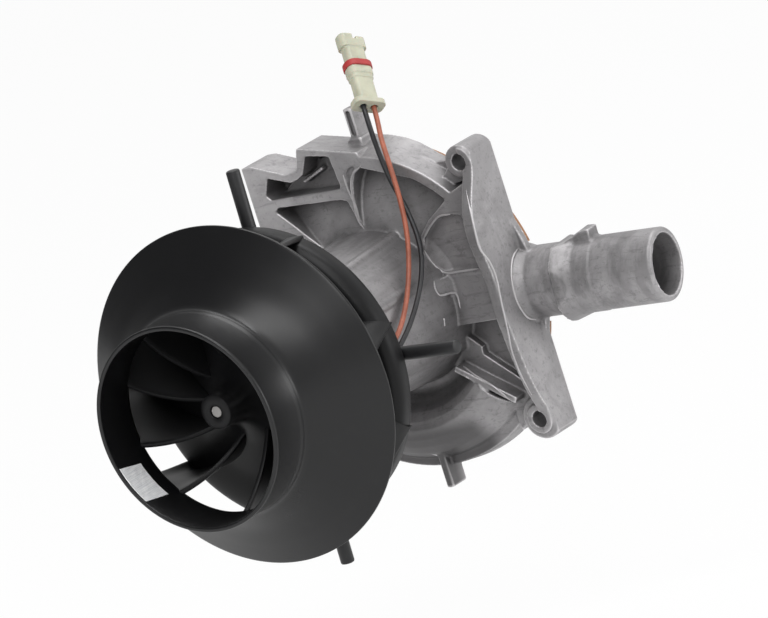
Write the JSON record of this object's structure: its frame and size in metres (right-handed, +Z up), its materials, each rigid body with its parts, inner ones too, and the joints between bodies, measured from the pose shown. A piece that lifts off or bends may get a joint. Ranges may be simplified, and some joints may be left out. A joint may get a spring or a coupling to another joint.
{
  "type": "dc blower fan",
  "caption": "Brushed dc blower with a mixed-flow fan wheel, a motor in a die-cast housing with a hose nozzle, and a two-wire plug.",
  "frame": {"origin": "where the motor axis meets the flange's mounting plane", "axes": "+Y along the motor axis out of the flange's rear, +X towards the hose nozzle's side, +Z up"},
  "size_m": [0.1668, 0.1525, 0.1578],
  "materials": {
    "cast_alloy": "as-cast with a soft sheen",
    "fan_plastic": "satin moulded black",
    "black_plastic": "satin black",
    "black_rubber": "matt",
    "red_sleeve": "satin",
    "red_rubber": "satin",
    "seal_rubber": "matt",
    "cream_plastic": "satin",
    "foil": "brushed foil",
    "steel": "turned",
    "lamination": "stacked sheet",
    "ferrite": "matt",
    "copper": "lacquered",
    "carbon": "matt"
  },
  "bodies": {
    "housing": {"blower_housing": "cast_alloy", "flange_seal": "seal_rubber", "rear_cover": "cast_alloy", "cover_gasket": "seal_rubber", "cover_screws": "steel", "motor_can": "steel", "motor_magnets": "ferrite", "front_bearing": "steel", "rear_bearing": "steel", "brush_holder": "black_plastic", "carbon_brushes": "carbon", "brush_springs": "steel", "support_hub": "black_plastic", "support_rod_right": "black_plastic", "support_rod_top": "black_plastic", "support_rod_left": "black_plastic", "support_rod_bottom": "black_plastic", "lead_grommet": "black_rubber", "lead_red": "red_sleeve", "lead_black": "black_rubber", "connector_body": "cream_plastic", "connector_seal": "red_rubber", "connector_terminals": "steel"},
    "rotor": {"wheel_shroud": "fan_plastic", "wheel_hub": "fan_plastic", "balance_foil": "foil", "motor_shaft": "steel", "armature_core": "lamination", "armature_windings": "copper", "commutator": "copper", "combustion_impeller": "fan_plastic", "impeller_clip": "steel"}
  },
  "joints": [
    {"name": "rotor_spin", "type": "hinge", "parent": "housing", "child": "rotor", "pos_m": [0, 0, 0], "axis": [0, 1, 0], "continuous": true}
  ]
}
